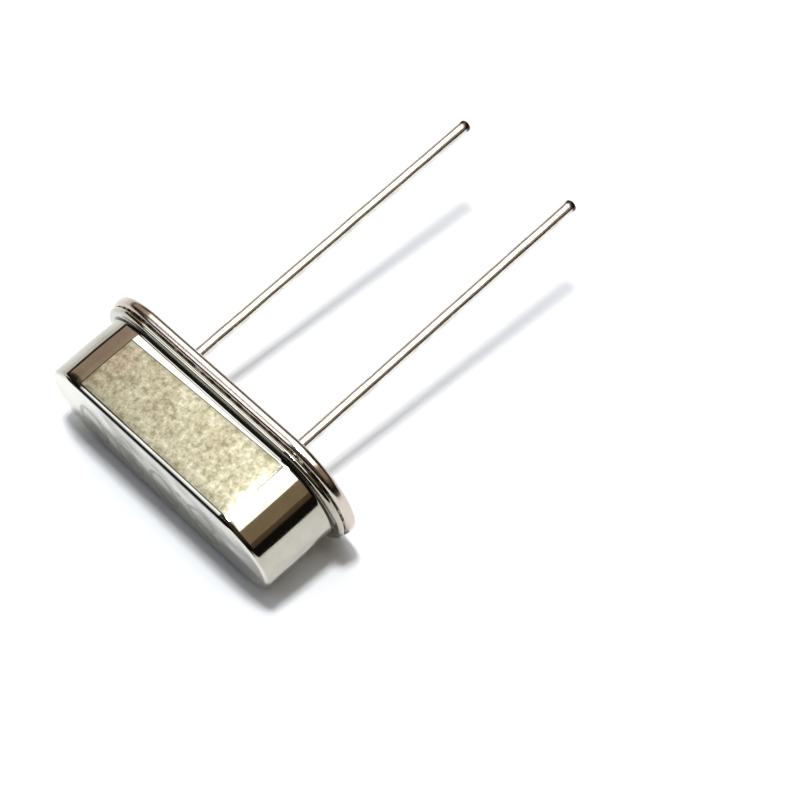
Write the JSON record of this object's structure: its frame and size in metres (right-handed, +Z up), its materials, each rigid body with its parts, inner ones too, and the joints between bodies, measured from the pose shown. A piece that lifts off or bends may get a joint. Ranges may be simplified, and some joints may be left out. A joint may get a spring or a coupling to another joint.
{
  "type": "crystal oscillator",
  "caption": "Low-profile two-lead quartz crystal: a drawn metal can with round ends, welded flange to flange on a base with two glass-sealed wire leads.",
  "frame": {"origin": "centre of the unit's bounding box in plan, on the surface it lies on", "axes": "+X along the can's long axis, +Y the way the leads point, +Z up; the unit lies on its wide side"},
  "size_m": [0.011, 0.0162, 0.0046],
  "materials": {
    "can_nickel": "nickel plate over a drawn sheet can, satin, warm grey",
    "base_nickel": "nickel plated stamped base, matt grey",
    "seal_glass": "fused dark compression glass, glossy",
    "lead_tin": "bright tinned wire, slightly pitted",
    "clip_bronze": "thin stamped spring sheet, bare",
    "quartz": "lapped and etched quartz, clear",
    "electrode_silver": "evaporated silver film, bright",
    "silver_epoxy": "silver filled conductive adhesive, dull"
  },
  "bodies": {
    "root": {"cap": "can_nickel", "base": "base_nickel", "glass_seal_left": "seal_glass", "glass_seal_right": "seal_glass", "lead_left": "lead_tin", "lead_right": "lead_tin", "clip_left": "clip_bronze", "clip_right": "clip_bronze", "quartz_blank": "quartz", "electrode_top": "electrode_silver", "electrode_bottom": "electrode_silver", "adhesive_left": "silver_epoxy", "adhesive_right": "silver_epoxy"}
  },
  "joints": []
}
